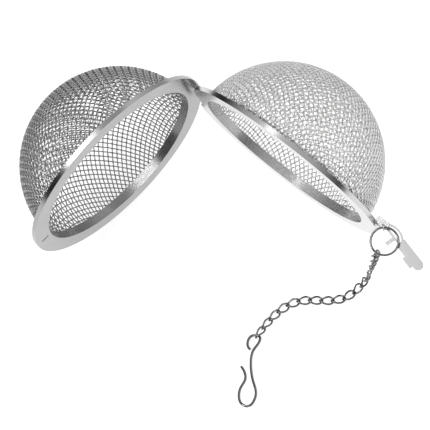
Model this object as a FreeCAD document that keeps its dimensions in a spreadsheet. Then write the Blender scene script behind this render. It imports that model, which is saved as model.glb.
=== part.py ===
"""Mesh tea infuser: two woven bowls on a hooked sheet hinge, a latch, a ring, a curb chain and a hook.

Every bowl has its own frame: origin at the centre of the rim's mating face, +X to the hinge, +Z into the
dome.  The two bowls stand open like a book on a table (world +Z up), the right one on its rim.
"""
import FreeCAD
import Part
import math
import os
import Sketcher
from FreeCAD import Placement, Rotation, Vector

doc = FreeCAD.newDocument("tea_infuser")
sheet = doc.addObject("Spreadsheet::Sheet", "Dims")

DIMENSIONS = {
    # rim: a folded channel of thin sheet with a collar inside the dome
    "rim_radius": 26.0,
    "rim_height": 1.1,
    "sheet_gauge": 0.3,
    "collar_bore": 21.85,
    "collar_radius": 22.1,
    "collar_height": 2.2,
    "back_bore": 23.6,
    # woven dome, as a shell two wires thick
    "dome_radius": 22.85,
    "dome_bore": 22.25,
    "brim_radius": 25.6,
    "brim_bottom": 0.32,
    "brim_height": 0.46,
    # hinge: a lug of the left rim, a curled tongue of the right rim
    "closed_gap": 0.1,
    "hinge_reach": 25.2,
    "hinge_front": 2.0,
    "lug_width": 6.0,
    "lug_gauge": 0.5,
    "bar_height": 0.9,
    "window_width": 3.2,
    "window_height": 1.2,
    "tongue_width": 2.6,
    "strap_start": 23.2,
    "curl_radius": 1.1,
    "curl_bore": 0.8,
    "curl_angle": 260.0,
    "notch_width": 6.8,
    "notch_reach": 24.2,
    "end_flat": 24.9,
    # catch slot in the left rim
    "slot_length": 1.9,
    "slot_width": 0.45,
    "slot_reach": 22.7,
    "slot_turn": 184.0,
    # latch bracket, rivet and lever
    "pivot_reach": 27.2,
    "pivot_depth": 1.9,
    "ear_radius": 0.9,
    "ear_gauge": 0.3,
    "ear_gap": 0.6,
    "ear_root": 24.8,
    "bridge_length": 1.3,
    "rivet_radius": 0.4,
    "rivet_head": 0.7,
    "head_height": 0.2,
    "eye_radius": 0.8,
    "eye_bore": 0.4,
    "eye_gauge": 0.4,
    "eye_height": 1.25,
    "foot_reach": 0.95,
    "foot_length": 0.5,
    "foot_width": 0.7,
    "lever_gauge": 0.5,
    "lever_bore": 0.45,
    "lever_eye": 1.0,
    "lever_turn": 15.6,
    "arch_centre": 2.9,
    "arch_side": 2.35,
    "arch_radius": 4.2,
    "arch_bore": 3.75,
    "arch_lap": 0.4,
    "bar_inner": -0.15,
    "bar_outer": 0.35,
    "blade_start": 5.2,
    "blade_side": 1.45,
    "blade_width": 2.3,
    "blade_length": 6.5,
    "tab_start": 8.4,
    "tab_length": 2.8,
    "tab_side": 1.6,
    "barb_start": 3.2,
    "barb_length": 0.8,
    "barb_side": 2.4,
    # ring
    "ring_radius": 3.1,
    "ring_wire": 0.25,
    "ring_reach": 29.5,
    "ring_front": 1.2,
    "ring_bearing": 48.5,
    "ring_droop": 6.0,
    "ring_exit": 90.0,
    # chain and hook
    "link_count": 18.0,
    "link_half_length": 1.64,
    "link_half_width": 0.9,
    "link_wire": 0.225,
    "link_pitch": 2.65,
    "link_twist": 45.0,
    "hook_wire": 0.3,
    "wire_slack": 0.07,
    "hook_heading": -90.0,
    "hook_span": 17.0,
    # pose
    "open_angle": 96.48,
    "spine_lean": 15.0,
    "shift_x": -1.911,
    "shift_y": 28.755,
    "shift_z": 0.0,
}

for row, (alias, value) in enumerate(DIMENSIONS.items(), start=1):
    sheet.set(f"A{row}", str(value))
    sheet.setAlias(f"A{row}", alias)
doc.recompute()


def size(alias):
    """A driving dimension, as a plain number."""
    return float(getattr(sheet, alias))


# ---------------------------------------------------------------- small builders
def bind(obj, **expressions):
    """Bind properties of an object to expressions over the sheet's cells."""
    for name, expression in expressions.items():
        words = [f"Dims.{w}" if w in DIMENSIONS else w for w in expression.split()]
        obj.setExpression(name, " ".join(words))
    return obj


def cylinder(name, radius, height, base=(0, 0, 0), placement=None, **more):
    """A cylinder on a base point, or at a placement."""
    obj = bind(doc.addObject("Part::Cylinder", name), Radius=radius, Height=height, **more)
    obj.Placement = placement or Placement(Vector(*base), Rotation())
    return obj


def box(name, length, width, height, corner, rotation=None):
    """A box from its lowest corner, which may be turned about the origin of its frame."""
    obj = bind(doc.addObject("Part::Box", name), Length=length, Width=width, Height=height)
    obj.Placement = Placement(Vector(*corner), Rotation())
    if rotation:
        obj.Placement = Placement(Vector(), rotation) * obj.Placement
    return obj


def cut(name, base, tool):
    """Base minus tool."""
    obj = doc.addObject("Part::Cut", name)
    obj.Base = base
    obj.Tool = tool
    return obj


def common(name, *shapes):
    """What all the shapes share."""
    obj = doc.addObject("Part::MultiCommon", name)
    obj.Shapes = list(shapes)
    return obj


def fuse(name, *shapes):
    """All the shapes as one."""
    obj = doc.addObject("Part::MultiFuse", name)
    obj.Shapes = list(shapes)
    obj.Refine = True
    return obj


def revolved(name, corners):
    """A body turned about its Z axis from an outline whose corners are bound to the sheet."""
    body = doc.addObject("PartDesign::Body", name)
    plane = next(f for f in body.Origin.OriginFeatures if f.Role == "XZ_Plane")
    sketch = body.newObject("Sketcher::SketchObject", f"{name}_outline")
    sketch.AttachmentSupport = (plane, [""])
    sketch.MapMode = "FlatFace"
    points = [Vector(*(sheet_value(word) for word in corner), 0) for corner in corners]
    for start, end in zip(points, points[1:] + points[:1]):
        sketch.addGeometry(Part.LineSegment(start, end))
    for edge in range(len(points)):
        sketch.addConstraint(Sketcher.Constraint("Coincident", edge, 2, (edge + 1) % len(points), 1))
    for edge, corner in enumerate(corners):
        for kind, word, point in zip(("DistanceX", "DistanceY"), corner, points[edge]):
            if word == "0":
                sketch.addConstraint(Sketcher.Constraint("PointOnObject", edge, 1, -1))
                continue
            number = sketch.addConstraint(Sketcher.Constraint(kind, -1, 1, edge, 1, point))
            words = [f"Dims.{w}" if w in DIMENSIONS else w for w in word.split()]
            sketch.setExpression(f"Constraints[{number}]", " ".join(words))
    turn = body.newObject("PartDesign::Revolution", f"{name}_turn")
    turn.Profile = sketch
    turn.ReferenceAxis = (sketch, ["V_Axis"])
    turn.Angle = 360
    return body


def sheet_value(expression):
    """The number that a sum or difference of sheet cells comes to."""
    total, sign = 0.0, 1.0
    for word in expression.split():
        if word in "+-":
            sign = 1.0 if word == "+" else -1.0
        else:
            total += sign * (size(word) if word in DIMENSIONS else float(word))
    return total


def part(name, obj, placement):
    """Name a finished sub-part and put it in its place."""
    obj.Label = name
    obj.Placement = placement
    parts.append(obj)


parts = []


# ---------------------------------------------------------------- frames
def axes(origin, x_axis, z_axis):
    """The placement of a frame from its origin, X axis and Z axis."""
    return Placement(origin, Rotation(x_axis, z_axis.cross(x_axis), z_axis, "ZXY"))


lean = math.radians(size("spine_lean"))
half = math.radians(180 - size("open_angle")) / 2
spine = Vector(0, -math.sin(lean), math.cos(lean))
front = Vector(0, -math.cos(lean), -math.sin(lean))
side = Vector(1, 0, 0)

# the way that each bowl's opening faces, and from its centre to the hinge
left_face = front * math.cos(half) + side * math.sin(half)
right_face = front * math.cos(half) - side * math.sin(half)
left_reach = side * math.cos(half) - front * math.sin(half)
right_reach = side * -math.cos(half) - front * math.sin(half)

# the right bowl steps forward from the hinge, so the front edge of its rim is the one nearest the table
drop = math.sqrt(1 - right_face.z**2)
hinge_height = (size("rim_radius") * drop + size("hinge_reach") * right_reach.z
                - size("hinge_front") * right_face.z)
shift = Vector(size("shift_x"), size("shift_y"), size("shift_z"))
hinge = Vector(0, 0, hinge_height) + shift
left_centre = hinge - left_reach * size("hinge_reach") - left_face * size("hinge_front")
right_step = size("hinge_front") - size("closed_gap")
right_centre = hinge - right_reach * size("hinge_reach") + right_face * right_step
left_frame = axes(left_centre, left_reach, left_face * -1)
right_frame = axes(right_centre, right_reach, right_face * -1)


# ---------------------------------------------------------------- bowls
def rim(name):
    """The folded rim: front face, outer wall, back layer and the collar inside the dome."""
    return revolved(name, [
        ("collar_bore", "0"),
        ("rim_radius", "0"),
        ("rim_radius", "rim_height"),
        ("back_bore", "rim_height"),
        ("back_bore", "rim_height - sheet_gauge"),
        ("rim_radius - sheet_gauge", "rim_height - sheet_gauge"),
        ("rim_radius - sheet_gauge", "sheet_gauge"),
        ("collar_radius", "sheet_gauge"),
        ("collar_radius", "collar_height"),
        ("collar_bore", "collar_height"),
    ])


def woven_dome(name):
    """The dome as a closed shell, with the flat brim that the rim is folded over."""
    outer = bind(doc.addObject("Part::Sphere", f"{name}_outer"), Radius="dome_radius")
    inner = bind(doc.addObject("Part::Sphere", f"{name}_inner"), Radius="dome_bore")
    above = cylinder(f"{name}_above", "rim_radius", "rim_radius", (0, 0, size("brim_bottom")))
    shell = common(f"{name}_shell", cut(f"{name}_ball", outer, inner), above)
    disc = cylinder(f"{name}_disc", "brim_radius", "brim_height", (0, 0, size("brim_bottom")))
    hole = cylinder(f"{name}_hole", "dome_bore + 0.2", "brim_height", (0, 0, size("brim_bottom")))
    return fuse(f"{name}_cloth", shell, cut(f"{name}_brim", disc, hole))


def left_bowl():
    """The left rim with its hinge lug and catch slot, and its dome."""
    lug_x = size("hinge_reach") - size("lug_gauge") / 2
    lug_bottom = -size("hinge_front") - size("bar_height") / 2
    lug = box("lug", "lug_gauge", "lug_width", "hinge_front + bar_height * 0.5 + sheet_gauge * 0.5",
              (lug_x, -size("lug_width") / 2, lug_bottom))
    window = box("lug_window", "lug_gauge", "window_width", "window_height",
                 (lug_x, -size("window_width") / 2, lug_bottom + size("bar_height")))
    slot = box("catch_slot", "slot_length", "slot_width", "sheet_gauge",
               (size("slot_reach"), -size("slot_width") / 2, 0),
               Rotation(Vector(0, 0, 1), size("slot_turn")))
    ring = cut("left_rim_slotted", rim("left_rim_turned"), slot)
    part("left_rim", fuse("left_rim_whole", ring, cut("lug_open", lug, window)), left_frame)
    part("left_mesh", woven_dome("left_dome"), left_frame)


def right_bowl():
    """The right rim with its curled hinge tongue and latch bracket, its dome and the latch rivet."""
    reach, depth = size("hinge_reach"), size("hinge_front") - size("closed_gap")
    width = size("tongue_width")
    around = Placement(Vector(reach, width / 2, depth),
                       Rotation(Vector(0, 0, -1), Vector(1, 0, 0), Vector(0, -1, 0), "ZXY"))
    curl = cut("curl",
               cylinder("curl_outer", "curl_radius", "tongue_width", placement=around, Angle="curl_angle"),
               cylinder("curl_inner", "curl_bore", "tongue_width", placement=around))
    strap = box("strap", "hinge_reach - strap_start", "tongue_width", "sheet_gauge",
                (size("strap_start"), -width / 2, size("rim_height") - size("sheet_gauge")))
    side_room = size("rim_radius")
    notch = box("notch", "rim_radius", "notch_width", "rim_radius",
                (size("notch_reach"), -size("notch_width") / 2, -1))
    flat = box("end_room", "rim_radius", "rim_radius * 2", "rim_radius", (size("end_flat"), -side_room, -1))
    away = fuse("hinge_room", notch, flat)
    trimmed = cut("right_rim_trimmed", rim("right_rim_turned"), away)
    part("right_rim", fuse("right_rim_whole", trimmed, strap, curl, *bracket()), right_frame)
    part("right_mesh", cut("right_dome_trimmed", woven_dome("right_dome"), away), right_frame)
    part("latch_rivet", rivet(), right_frame)


def across(reach, depth, offset):
    """A placement whose Z axis runs along the hinge, at a point outside the right rim's far end."""
    return Placement(Vector(-reach, -offset, depth), Rotation(Vector(1, 0, 0), -90))


def bracket():
    """Two ears that carry the latch, the bridge that joins them on the rim's back, and the ring's eye."""
    reach, depth = size("pivot_reach"), size("pivot_depth")
    gap, gauge = size("ear_gap"), size("ear_gauge")
    hole = across(reach, depth, gap / 2 + gauge)
    bore = cylinder("ear_hole", "rivet_radius", "ear_gap + ear_gauge * 2", placement=hole)
    shapes = []
    for name, offset in (("lower", gap / 2 + gauge), ("upper", -gap / 2)):
        eye = cylinder(f"ear_{name}", "ear_radius", "ear_gauge", placement=across(reach, depth, offset))
        plate = box(f"ear_plate_{name}", "pivot_reach - ear_root", "ear_gauge",
                    "pivot_depth + ear_radius - rim_height + sheet_gauge * 0.5",
                    (-reach, -offset, size("rim_height") - size("sheet_gauge") / 2))
        shapes.append(fuse(f"ear_whole_{name}", eye, plate))
    bridge = box("bridge", "bridge_length", "ear_gap + ear_gauge * 2", "sheet_gauge",
                 (-size("ear_root") - size("bridge_length"), -gap / 2 - gauge,
                  size("rim_height") - size("sheet_gauge") / 2))
    return [cut("bracket", fuse("bracket_plates", bridge, *shapes), bore), ring_eye()]


def ring_eye():
    """The eye on the upper ear that the ring is threaded through."""
    bearing = math.radians(size("ring_bearing"))
    along = Vector(-math.sin(bearing), 0, math.cos(bearing))
    middle = ring_root() - along * (size("eye_gauge") / 2)
    placement = axes(middle, Vector(0, 1, 0), along)
    outer = cylinder("eye_outer", "eye_radius", "eye_gauge", placement=placement)
    inner = cylinder("eye_inner", "eye_bore", "eye_gauge", placement=placement)
    foot = box("eye_foot", "foot_length", "foot_width", "eye_gauge",
               (-size("foot_reach"), -size("foot_width") / 2, 0))
    foot.Placement = placement * foot.Placement
    return cut("eye", fuse("eye_solid", outer, foot), inner)


def ring_root():
    """Where the ring's wire passes through its eye, in the right bowl's frame."""
    bearing = math.radians(size("ring_bearing"))
    back = size("ring_radius")
    return Vector(-size("ring_reach") + back * math.cos(bearing), size("eye_height"),
                  -size("ring_front") + back * math.sin(bearing))


def rivet():
    """A rivet through both ears, peened flush above and with a flat head below."""
    reach, depth = size("pivot_reach"), size("pivot_depth")
    face = size("ear_gap") / 2 + size("ear_gauge")
    end = face + size("head_height")
    shank = cylinder("rivet_shank", "rivet_radius", "ear_gap + ear_gauge * 2 + head_height",
                     placement=across(reach, depth, end))
    head = cylinder("rivet_cap", "rivet_head", "head_height", placement=across(reach, depth, end))
    return fuse("rivet", shank, head)


# ---------------------------------------------------------------- latch
turn = math.radians(size("lever_turn"))
outward = right_reach * -1
lever_along = outward * math.cos(turn) + right_face * math.sin(turn)
pivot = right_centre + outward * size("pivot_reach") - right_face * size("pivot_depth")
lever_frame = axes(pivot, lever_along, spine * -1)


def lever():
    """A flat blade: eye, arch over a window, catch barb, thumb tab and rounded tip."""
    low = -size("lever_gauge") / 2

    def plate(name, start, edge, length, width):
        """A piece of the blade from its start and lower edge."""
        return box(name, length, width, "lever_gauge", (start, edge, low))

    def disc(name, radius, start, edge):
        """A round piece of the blade."""
        return cylinder(name, radius, "lever_gauge", (start, edge, low))

    top = -size("arch_radius")
    band = plate("arch_band", 0, top, "blade_start + arch_lap", "arch_radius + bar_outer")
    arch = common("arch", disc("arch_disc", "arch_radius", size("arch_centre"), size("arch_side")), band)
    room = common("arch_room", disc("arch_hollow", "arch_bore", size("arch_centre"), size("arch_side")),
                  plate("arch_under", 0, top, "blade_start + arch_lap", "arch_radius + bar_inner"))
    blade_end = size("blade_start") + size("blade_length")
    pieces = [
        cut("arch_open", arch, room),
        disc("lever_eye_disc", "lever_eye", 0, 0),
        plate("blade", size("blade_start"), -size("blade_side"), "blade_length", "blade_width"),
        disc("tip", "blade_width * 0.5", blade_end, size("blade_width") / 2 - size("blade_side")),
        plate("thumb_tab", size("tab_start"), 0, "tab_length", "tab_side"),
        plate("barb", size("barb_start"), 0, "barb_length", "barb_side"),
    ]
    return cut("lever", fuse("lever_solid", *pieces), disc("lever_hole", "lever_bore", 0, 0))


def ring():
    """The ring threaded through the eye above the latch."""
    return bind(doc.addObject("Part::Torus", "ring_torus"), Radius1="ring_radius", Radius2="ring_wire")


# the ring lies over the latch, a little lower at the side away from its eye
bearing, droop = math.radians(size("ring_bearing")), math.radians(size("ring_droop"))
eye_point = right_frame.multVec(ring_root())
ring_far = outward * math.cos(bearing) + right_face * math.sin(bearing)
ring_hinge = outward * math.sin(bearing) - right_face * math.cos(bearing)
ring_fall = ring_far * math.cos(droop) - spine * math.sin(droop)
ring_centre = eye_point + ring_fall * size("ring_radius")
ring_frame = axes(ring_centre, ring_fall, ring_hinge.cross(ring_fall) * -1)


# ---------------------------------------------------------------- wire pieces
def smooth_wire(points, radius, tangents=None):
    """A solid round wire along a smooth curve through the points."""
    curve = Part.BSplineCurve()
    if tangents:
        curve.interpolate(Points=points, InitialTangent=tangents[0], FinalTangent=tangents[1])
    else:
        curve.interpolate(Points=points)
    path = Part.Wire([curve.toShape()])
    section = Part.Circle(points[0], curve.tangent(curve.FirstParameter)[0], radius).toShape()
    return path.makePipeShell([Part.Wire([section])], True, False)


def link_shape():
    """A curb link: an oval of wire whose two ends are twisted opposite ways."""
    def centre(angle):
        """The point of the wire's centre line at an angle round the oval."""
        width = size("link_half_width") * math.sin(angle)
        twist = math.radians(size("link_twist")) * math.cos(angle)
        return Vector(size("link_half_length") * math.cos(angle),
                      width * math.cos(twist), width * math.sin(twist))

    halves = []
    for start in (-math.pi / 2, math.pi / 2):
        points = [centre(start + math.pi * n / 8) for n in range(9)]
        tangents = [(centre(end + 0.001) - centre(end - 0.001)).normalize()
                    for end in (start, start + math.pi)]
        halves.append(smooth_wire(points, size("link_wire"), tangents))
    return halves[0].fuse(halves[1]).Solids[0]


# the chain leaves the ring steeply, lands, and wanders over the table to the hook
HEADINGS = [156, 156, 156, 158, 162, 172, 190, 204, 202, 186, 174, 172, 180, 198, 214, 224, 230, 234]
DESCENTS = [80, 76, 75, 75, 75, 70, 58, 38, 16]
ROLLS = [45, 35, 25, 15, 5, 0, 0, 0, 0, 0, 0, 0, 0, 0, 0, 10, 20, 30]


def direction(heading, descent):
    """A unit vector from its heading about +Z and its slope downwards."""
    flat = math.cos(descent)
    return Vector(flat * math.cos(heading), flat * math.sin(heading), -math.sin(descent))


def half_height(roll):
    """How far a level link reaches above and below its centre when it is rolled."""
    angles = [math.pi * n / 36 for n in range(36)]
    twist = math.radians(size("link_twist"))
    return size("link_wire") + size("link_half_width") * max(
        abs(math.sin(a) * math.sin(twist * math.cos(a) + roll)) for a in angles)


def chain_frames(start):
    """The placement of every link, and where the hook's eye is gripped."""
    grip = size("link_half_length") - size("link_wire") - size("wire_slack")
    here, frames = start, []
    for n in range(int(size("link_count"))):
        behind = grip - size("ring_wire") if n == 0 else size("link_pitch") / 2
        last = n + 1 == int(size("link_count"))
        ahead = grip - size("hook_wire") if last else size("link_pitch") / 2
        rest = half_height(math.radians(ROLLS[n])) + size("wire_slack") / 2 + shift.z
        steepest = (here.z - rest) / (behind + ahead)
        descent = math.asin(max(-1.0, min(1.0, steepest)))
        if n < len(DESCENTS):
            descent = min(descent, math.radians(DESCENTS[n]))
        heading = math.radians(HEADINGS[n])
        along = direction(heading, descent)
        across_link = Vector(-math.sin(heading), math.cos(heading), 0)
        flat_link = axes(here + along * behind, along, along.cross(across_link))
        frames.append(flat_link * Placement(Vector(), Rotation(Vector(1, 0, 0), ROLLS[n])))
        here = here + along * (behind + ahead)
    return frames, here


def hook_shape():
    """The hook's wire, from the free end of its eye to the upturned tip, lying flat."""
    # X runs from the chain's end of the eye to the bend, Y to the side of the open throat
    outline = [(3.2, 1.5), (1.25, 2.05), (-0.2, 0.9), (0.4, -0.8), (1.75, -0.45), (3.45, 0.8), (6.7, 1.5),
               (8.75, 1.45), (11.35, 1.05), (13.7, 0.55), (15.6, 0.95), (17.0, 2.3), (16.4, 3.85),
               (14.3, 4.45), (12.4, 4.0), (10.4, 2.9), (8.75, 3.0), (7.25, 3.75)]
    points = [Vector(along, aside, 0) for along, aside in outline]
    return smooth_wire(points, size("hook_wire"))


def wire_piece(name, shape, placement):
    """A sub-part whose shape is a wire, in its place."""
    obj = doc.addObject("Part::Feature", name)
    obj.Shape = shape
    part(name, obj, placement)


left_bowl()
right_bowl()
part("latch_lever", lever(), lever_frame)
part("chain_ring", ring(), ring_frame)

exit_angle = math.radians(size("ring_exit") - size("ring_bearing"))
chain_start = (ring_centre + ring_fall * (size("ring_radius") * math.cos(exit_angle))
               - ring_hinge * (size("ring_radius") * math.sin(exit_angle)))
link_frames, hook_grip = chain_frames(chain_start)
one_link = link_shape()
for number, frame in enumerate(link_frames, start=1):
    wire_piece(f"chain_link_{number:02d}", one_link, frame)

# the hook hangs on the last link by its eye and slopes down to rest on the table at its bend
hook_along = direction(math.radians(size("hook_heading")),
                       math.asin((hook_grip.z - size("hook_wire") - shift.z) / size("hook_span")))
hook_aside = Vector(hook_along.y, -hook_along.x, 0).normalize()
hook_frame = axes(hook_grip - hook_aside * -0.2, hook_along, hook_along.cross(hook_aside))
wire_piece("hook", hook_shape(), hook_frame)

doc.recompute()

for obj in doc.Objects:
    if {"Invalid", "Error"} & set(obj.State):
        raise RuntimeError(f"{obj.Label} failed: {obj.State}")
for obj in parts:
    if obj.Shape.isNull() or not obj.Shape.isValid():
        raise RuntimeError(f"{obj.Label} has no valid shape")

os.makedirs("parts", exist_ok=True)
whole = FreeCAD.BoundBox()
for obj in parts:
    whole.add(obj.Shape.BoundBox)
    obj.Shape.exportStep(f"parts/{obj.Label}.step")
print("overall", whole)
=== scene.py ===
"""Looks of the mesh tea infuser: woven wire bowls, brushed and polished stainless steel, a white studio."""

import math

import bpy
import numpy as np
from mathutils import Matrix, Vector


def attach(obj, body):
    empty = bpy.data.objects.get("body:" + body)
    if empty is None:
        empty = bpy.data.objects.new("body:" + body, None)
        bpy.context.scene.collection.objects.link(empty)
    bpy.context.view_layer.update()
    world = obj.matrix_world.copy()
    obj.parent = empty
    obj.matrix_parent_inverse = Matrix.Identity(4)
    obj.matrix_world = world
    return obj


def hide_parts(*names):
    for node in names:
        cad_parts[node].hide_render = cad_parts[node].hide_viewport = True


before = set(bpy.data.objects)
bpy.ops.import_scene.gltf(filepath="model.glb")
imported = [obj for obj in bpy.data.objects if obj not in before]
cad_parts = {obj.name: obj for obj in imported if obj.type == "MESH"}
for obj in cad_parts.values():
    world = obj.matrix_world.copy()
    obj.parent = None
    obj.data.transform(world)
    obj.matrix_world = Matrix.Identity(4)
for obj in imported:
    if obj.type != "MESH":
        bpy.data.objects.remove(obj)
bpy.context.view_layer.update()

MM = 0.001

# the bowls, in mm, placed as the CAD places them
HINGE = Vector((-1.911, 28.755, 30.241))
LEAN = math.radians(15)
HALF_FOLD = math.radians(180 - 96.48) / 2
HINGE_REACH = 25.2
LEFT_STEP = 2.0
RIGHT_STEP = 1.9

# the woven cloth, in mm: a dome, a bend and a flat brim inside the rim's fold
WEAVE_PITCH = 1.2
WIRE_RADIUS = 0.16
CLOTH_RADIUS = 22.55
CLOTH_BEND = 0.5
CLOTH_BRIM = 23.9
CLOTH_FLAT_Z = 0.55
CLOTH_QUARTER = CLOTH_RADIUS * math.pi / 2 - CLOTH_BEND - CLOTH_FLAT_Z
CLOTH_EDGE = CLOTH_RADIUS * math.sin(CLOTH_QUARTER / CLOTH_RADIUS)
CLOTH_BEND_END = CLOTH_QUARTER + CLOTH_BEND * math.pi / 2
CLOTH_RUN = CLOTH_BEND_END + CLOTH_BRIM - CLOTH_EDGE - CLOTH_BEND
WIRE_SIDES = 6
STEPS_PER_CROSSING = 4
WEAVE_TURN = math.radians(45)
SKEW = (0.13, 0.41, 0.9)

# the steel: fine grain and broad faint stains, as noise over the object's own metres
GRAIN_DETAIL = 6
STAIN_SCALE = 180
STAIN_DETAIL = 3
ROUGH_SPREAD = 0.25
GRAIN_DEPTH = 0.00002

# the studio, in metres and watts
FLOOR_SIZE = 3
FLOOR_DROP = 0.00002
FLOOR_GREY = 0.55
FLOOR_ROUGH = 0.7
FLOOR_GLOW = 0.8
BRIGHT_SKY = (0.45, 0.35, 0.82)
SKY_FADE = (0.3, 0.65)
SKY_STRENGTH = (0.01, 0.6)
SOFTBOXES = (
    # name, place, target, size, power
    ("key", (0.45, 0.35, 0.55), (0.01, 0, 0.02), (0.5, 0.5), 0.5),
    ("top", (-0.25, -0.15, 0.6), (-0.01, 0, 0.02), (0.12, 0.5), 1.6),
    ("front", (0.05, -0.7, 0.25), (0.01, 0, 0.02), (0.5, 0.06), 0.6),
)

# the camera, in mm and degrees
CAMERA_PLACE = (66.39, -237.11, 449.07)
CAMERA_RIGHT = (0.9862, -0.0163, -0.1645)
CAMERA_BACK = (0.1363, -0.4829, 0.865)
CAMERA_ANGLE = 11.22


# ---------------------------------------------------------------- bowl frames
def bowl_matrix(sign, step):
    """The bowl's frame in the row, in mm: X to the hinge, Z into the dome; sign is -1 for the left bowl."""
    spine = Vector((0, -math.sin(LEAN), math.cos(LEAN)))
    front = Vector((0, -math.cos(LEAN), -math.sin(LEAN)))
    side = Vector((1, 0, 0))
    face = front * math.cos(HALF_FOLD) - side * math.sin(HALF_FOLD) * sign
    reach = side * -math.cos(HALF_FOLD) * sign - front * math.sin(HALF_FOLD)
    centre = HINGE - reach * HINGE_REACH + face * step * sign
    dome = -face
    columns = (reach, dome.cross(reach), dome)
    turn = Matrix([[c[row] for c in columns] for row in range(3)]).to_4x4()
    return Matrix.Translation(centre) @ turn


LEFT = bowl_matrix(-1, LEFT_STEP)
RIGHT = bowl_matrix(1, RIGHT_STEP)


def mesh_object(name, points, faces, matrix):
    """A mesh piece from points in a bowl's frame, in mm."""
    placed = np.c_[points, np.ones(len(points))] @ np.array(matrix).T
    mesh = bpy.data.meshes.new(name)
    mesh.from_pydata((placed[:, :3] * MM).tolist(), [], faces)
    mesh.polygons.foreach_set("use_smooth", [True] * len(mesh.polygons))
    mesh.update()
    piece = bpy.data.objects.new(name, mesh)
    bpy.context.collection.objects.link(piece)
    return piece


# ---------------------------------------------------------------- woven domes
def cloth_profile(run):
    """Radius, height and outward slope of the pressed cloth, from the run along it from the dome's top."""
    angle = np.clip(run, 0, CLOTH_QUARTER) / CLOTH_RADIUS
    radius = CLOTH_RADIUS * np.sin(angle)
    height = CLOTH_RADIUS * np.cos(angle)
    slope = angle
    turn = np.clip(run - CLOTH_QUARTER, 0, CLOTH_BEND * math.pi / 2) / CLOTH_BEND
    lip = run > CLOTH_QUARTER
    radius = np.where(lip, CLOTH_EDGE + CLOTH_BEND * (1 - np.cos(turn)), radius)
    height = np.where(lip, CLOTH_FLAT_Z + CLOTH_BEND * (1 - np.sin(turn)), height)
    slope = np.where(lip, math.pi / 2 - turn, slope)
    flat = np.clip(run - CLOTH_BEND_END, 0, None)
    return radius + flat, height, slope


def wire_strand(offset, along_x, parity):
    """The centre line of one wire of the weave, as points in the bowl's frame, unless it is too short."""
    half = math.sqrt(max(CLOTH_RUN**2 - offset**2, 0))
    if half < WEAVE_PITCH:
        return None
    count = int(2 * half / WEAVE_PITCH * STEPS_PER_CROSSING)
    run_along = np.linspace(-half, half, count)
    flat = np.c_[run_along, np.full(count, offset)]
    if not along_x:
        flat = flat[:, ::-1]
    run = np.hypot(flat[:, 0], flat[:, 1])
    bearing = np.arctan2(flat[:, 1], flat[:, 0]) + WEAVE_TURN
    wave = WIRE_RADIUS * np.cos(math.pi * run_along / WEAVE_PITCH) * parity
    radius, height, slope = cloth_profile(run)
    radius = radius + wave * np.sin(slope)
    height = height + wave * np.cos(slope)
    return np.c_[radius * np.cos(bearing), radius * np.sin(bearing), height]


def tube(path, radius, sides):
    """Rings of vertices round a path, and the quads between them."""
    ahead, behind = np.roll(path, -1, 0), np.roll(path, 1, 0)
    ahead[-1], behind[0] = path[-1], path[0]
    tangent = ahead - behind
    tangent /= np.linalg.norm(tangent, axis=1)[:, None]
    normal = np.cross(tangent[0], SKEW)
    normals = []
    for t in tangent:
        normal = normal - t * normal.dot(t)
        normal = normal / np.linalg.norm(normal)
        normals.append(normal)
    normals = np.array(normals)
    others = np.cross(tangent, normals)
    turn = np.linspace(0, 2 * math.pi, sides, endpoint=False)
    rings = (path[:, None] + radius * (np.cos(turn)[None, :, None] * normals[:, None]
                                       + np.sin(turn)[None, :, None] * others[:, None]))
    n, k = np.meshgrid(np.arange(len(path) - 1), np.arange(sides), indexing="ij")
    after, beside = n + 1, (k + 1) % sides
    quads = np.stack([n * sides + k, n * sides + beside, after * sides + beside, after * sides + k], -1)
    return rings.reshape(-1, 3), quads.reshape(-1, 4)


def woven(name, along_x, matrix):
    """All wires of one direction of a dome's cloth."""
    count = int(CLOTH_RUN / WEAVE_PITCH)
    points, faces, total = [], [], 0
    for number in range(-count, count + 1):
        parity = (1 if number % 2 else -1) * (1 if along_x else -1)
        strand = wire_strand(number * WEAVE_PITCH, along_x, parity)
        if strand is None:
            continue
        ring_points, quads = tube(strand, WIRE_RADIUS, WIRE_SIDES)
        points.append(ring_points)
        faces.append(quads + total)
        total += len(ring_points)
    return mesh_object(name, np.vstack(points), np.vstack(faces).tolist(), matrix)


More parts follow.
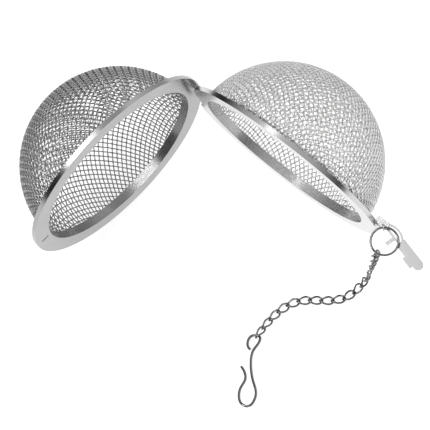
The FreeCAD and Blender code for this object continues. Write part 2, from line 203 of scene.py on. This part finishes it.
# ---------------------------------------------------------------- materials
def steel(name, tone, rough, grain_scale, bump, mottling):
    """Stainless steel with a fine even grain, and faint uneven staining; the tone is the base grey, and
    some parts take lighter or darker copies of one steel as painted light and painted shade.
    """
    material = bpy.data.materials.new(name)
    material.use_nodes = True
    nodes, links = material.node_tree.nodes, material.node_tree.links
    shader = nodes["Principled BSDF"]
    shader.inputs["Metallic"].default_value = 1.0
    place = nodes.new("ShaderNodeTexCoord")
    grain = nodes.new("ShaderNodeTexNoise")
    grain.inputs["Scale"].default_value = grain_scale
    grain.inputs["Detail"].default_value = GRAIN_DETAIL
    links.new(place.outputs["Object"], grain.inputs["Vector"])
    stains = nodes.new("ShaderNodeTexNoise")
    stains.inputs["Scale"].default_value = STAIN_SCALE
    stains.inputs["Detail"].default_value = STAIN_DETAIL
    links.new(place.outputs["Object"], stains.inputs["Vector"])
    colour = nodes.new("ShaderNodeMapRange")
    colour.inputs["To Min"].default_value = tone - mottling
    colour.inputs["To Max"].default_value = tone + mottling
    links.new(stains.outputs["Fac"], colour.inputs["Value"])
    links.new(colour.outputs["Result"], shader.inputs["Base Color"])
    roughness = nodes.new("ShaderNodeMapRange")
    roughness.inputs["To Min"].default_value = rough * (1 - ROUGH_SPREAD)
    roughness.inputs["To Max"].default_value = rough * (1 + ROUGH_SPREAD)
    links.new(grain.outputs["Fac"], roughness.inputs["Value"])
    links.new(roughness.outputs["Result"], shader.inputs["Roughness"])
    relief = nodes.new("ShaderNodeBump")
    relief.inputs["Strength"].default_value = bump
    relief.inputs["Distance"].default_value = GRAIN_DEPTH
    links.new(grain.outputs["Fac"], relief.inputs["Height"])
    links.new(relief.outputs["Normal"], shader.inputs["Normal"])
    return material


# painted shade and painted light: the left rim is the darker copy of one steel, and the right rim and rivet
# the brighter copy, for how light falls on the two bowls
LEFT_RIM_SHADED = steel("left_rim_painted_shade", 0.38, 0.24, 900, 0.25, 0.03)
RIGHT_STEEL_LIT = steel("right_rim_painted_light", 0.60, 0.22, 900, 0.25, 0.04)
# painted shade and painted light: the left dome's wires are the darker copy of one steel and the right
# dome's the brighter copy, for how light falls on the two domes
LEFT_MESH_SHADED = steel("left_mesh_painted_shade", 0.44, 0.22, 1500, 0.15, 0.06)
RIGHT_MESH_LIT = steel("right_mesh_painted_light", 0.78, 0.22, 1500, 0.15, 0.08)
LATCH_STEEL = steel("latch_look", 0.42, 0.30, 900, 0.25, 0.03)
# painted reflection: the wire steel is painted very dark to stand for the dark surroundings it reflects
WIRE_STEEL_DARKENED = steel("wire_painted_dark_reflection", 0.22, 0.08, 1200, 0.12, 0.03)


def dress(piece, material):
    """Give a piece one material."""
    piece.data.materials.clear()
    piece.data.materials.append(material)
    return piece


# each dome gets its own copy of the mesh steel, the left shaded and the right lit, as painted shade and
# painted light
for side, matrix, look in (("left", LEFT, LEFT_MESH_SHADED), ("right", RIGHT, RIGHT_MESH_LIT)):
    for direction, along_x in (("warp", True), ("weft", False)):
        cloth = dress(woven(f"{side}_{direction}", along_x, matrix), look)
        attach(cloth, f"{side}_bowl")
        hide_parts(f"{side}_mesh")

for node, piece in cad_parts.items():
    if node.endswith("_mesh"):
        continue
    # the left rim takes the shaded copy of the steel, and the right rim and rivet the lit copy: painted
    # shade and painted light
    if node == "left_rim":
        dress(piece, LEFT_RIM_SHADED)
    elif node in ("right_rim", "latch_rivet"):
        dress(piece, RIGHT_STEEL_LIT)
    elif node == "latch_lever":
        dress(piece, LATCH_STEEL)
    # the remaining parts, such as the chain, take the wire steel that is painted dark as painted reflection
    else:
        dress(piece, WIRE_STEEL_DARKENED)


# ---------------------------------------------------------------- studio
bpy.ops.mesh.primitive_plane_add(size=FLOOR_SIZE, location=(0, 0, -FLOOR_DROP))
floor = bpy.context.active_object
floor.name = "floor"
paper = bpy.data.materials.new("floor_look")
paper.use_nodes = True
paper_shader = paper.node_tree.nodes["Principled BSDF"]
paper_shader.inputs["Base Color"].default_value = (FLOOR_GREY, FLOOR_GREY, FLOOR_GREY, 1)
paper_shader.inputs["Roughness"].default_value = FLOOR_ROUGH
paper_shader.inputs["Emission Color"].default_value = (1, 1, 1, 1)
paper_shader.inputs["Emission Strength"].default_value = FLOOR_GLOW
dress(floor, paper)

# a sky that is bright overhead and at the back right, and dark on its other sides
world = bpy.data.worlds.new("studio")
bpy.context.scene.world = world
world.use_nodes = True
sky_nodes, sky_links = world.node_tree.nodes, world.node_tree.links
sky = sky_nodes["Background"]
sky.inputs["Color"].default_value = (1, 1, 1, 1)
heading = sky_nodes.new("ShaderNodeTexCoord")
bright_side = sky_nodes.new("ShaderNodeVectorMath")
bright_side.operation = "DOT_PRODUCT"
bright_side.inputs[1].default_value = BRIGHT_SKY
sky_links.new(heading.outputs["Generated"], bright_side.inputs[0])
fade = sky_nodes.new("ShaderNodeMapRange")
fade.inputs["From Min"].default_value, fade.inputs["From Max"].default_value = SKY_FADE
fade.inputs["To Min"].default_value, fade.inputs["To Max"].default_value = SKY_STRENGTH
sky_links.new(bright_side.outputs["Value"], fade.inputs["Value"])
sky_links.new(fade.outputs["Result"], sky.inputs["Strength"])


def softbox(name, place, target, size, power):
    """A soft rectangular light."""
    light = bpy.data.lights.new(name, "AREA")
    light.shape = "RECTANGLE"
    light.size, light.size_y = size
    light.energy = power
    lamp = bpy.data.objects.new(name, light)
    bpy.context.collection.objects.link(lamp)
    lamp.location = place
    aim = Vector(target) - Vector(place)
    lamp.rotation_euler = aim.to_track_quat("-Z", "Y").to_euler()


for softbox_values in SOFTBOXES:
    softbox(*softbox_values)

camera_data = bpy.data.cameras.new("camera")
camera = bpy.data.objects.new("camera", camera_data)
bpy.context.collection.objects.link(camera)
bpy.context.scene.camera = camera
right = Vector(CAMERA_RIGHT).normalized()
back = Vector(CAMERA_BACK).normalized()
up = back.cross(right).normalized()
right = up.cross(back)
camera_turn = Matrix([[axis[row] for axis in (right, up, back)] for row in range(3)]).to_4x4()
camera.matrix_world = Matrix.Translation(Vector(CAMERA_PLACE) * MM) @ camera_turn
camera_data.sensor_fit = "HORIZONTAL"
camera_data.angle = math.radians(CAMERA_ANGLE)
camera_data.clip_start = 0.01
camera_data.clip_end = 10

bpy.context.scene.view_settings.view_transform = "Standard"
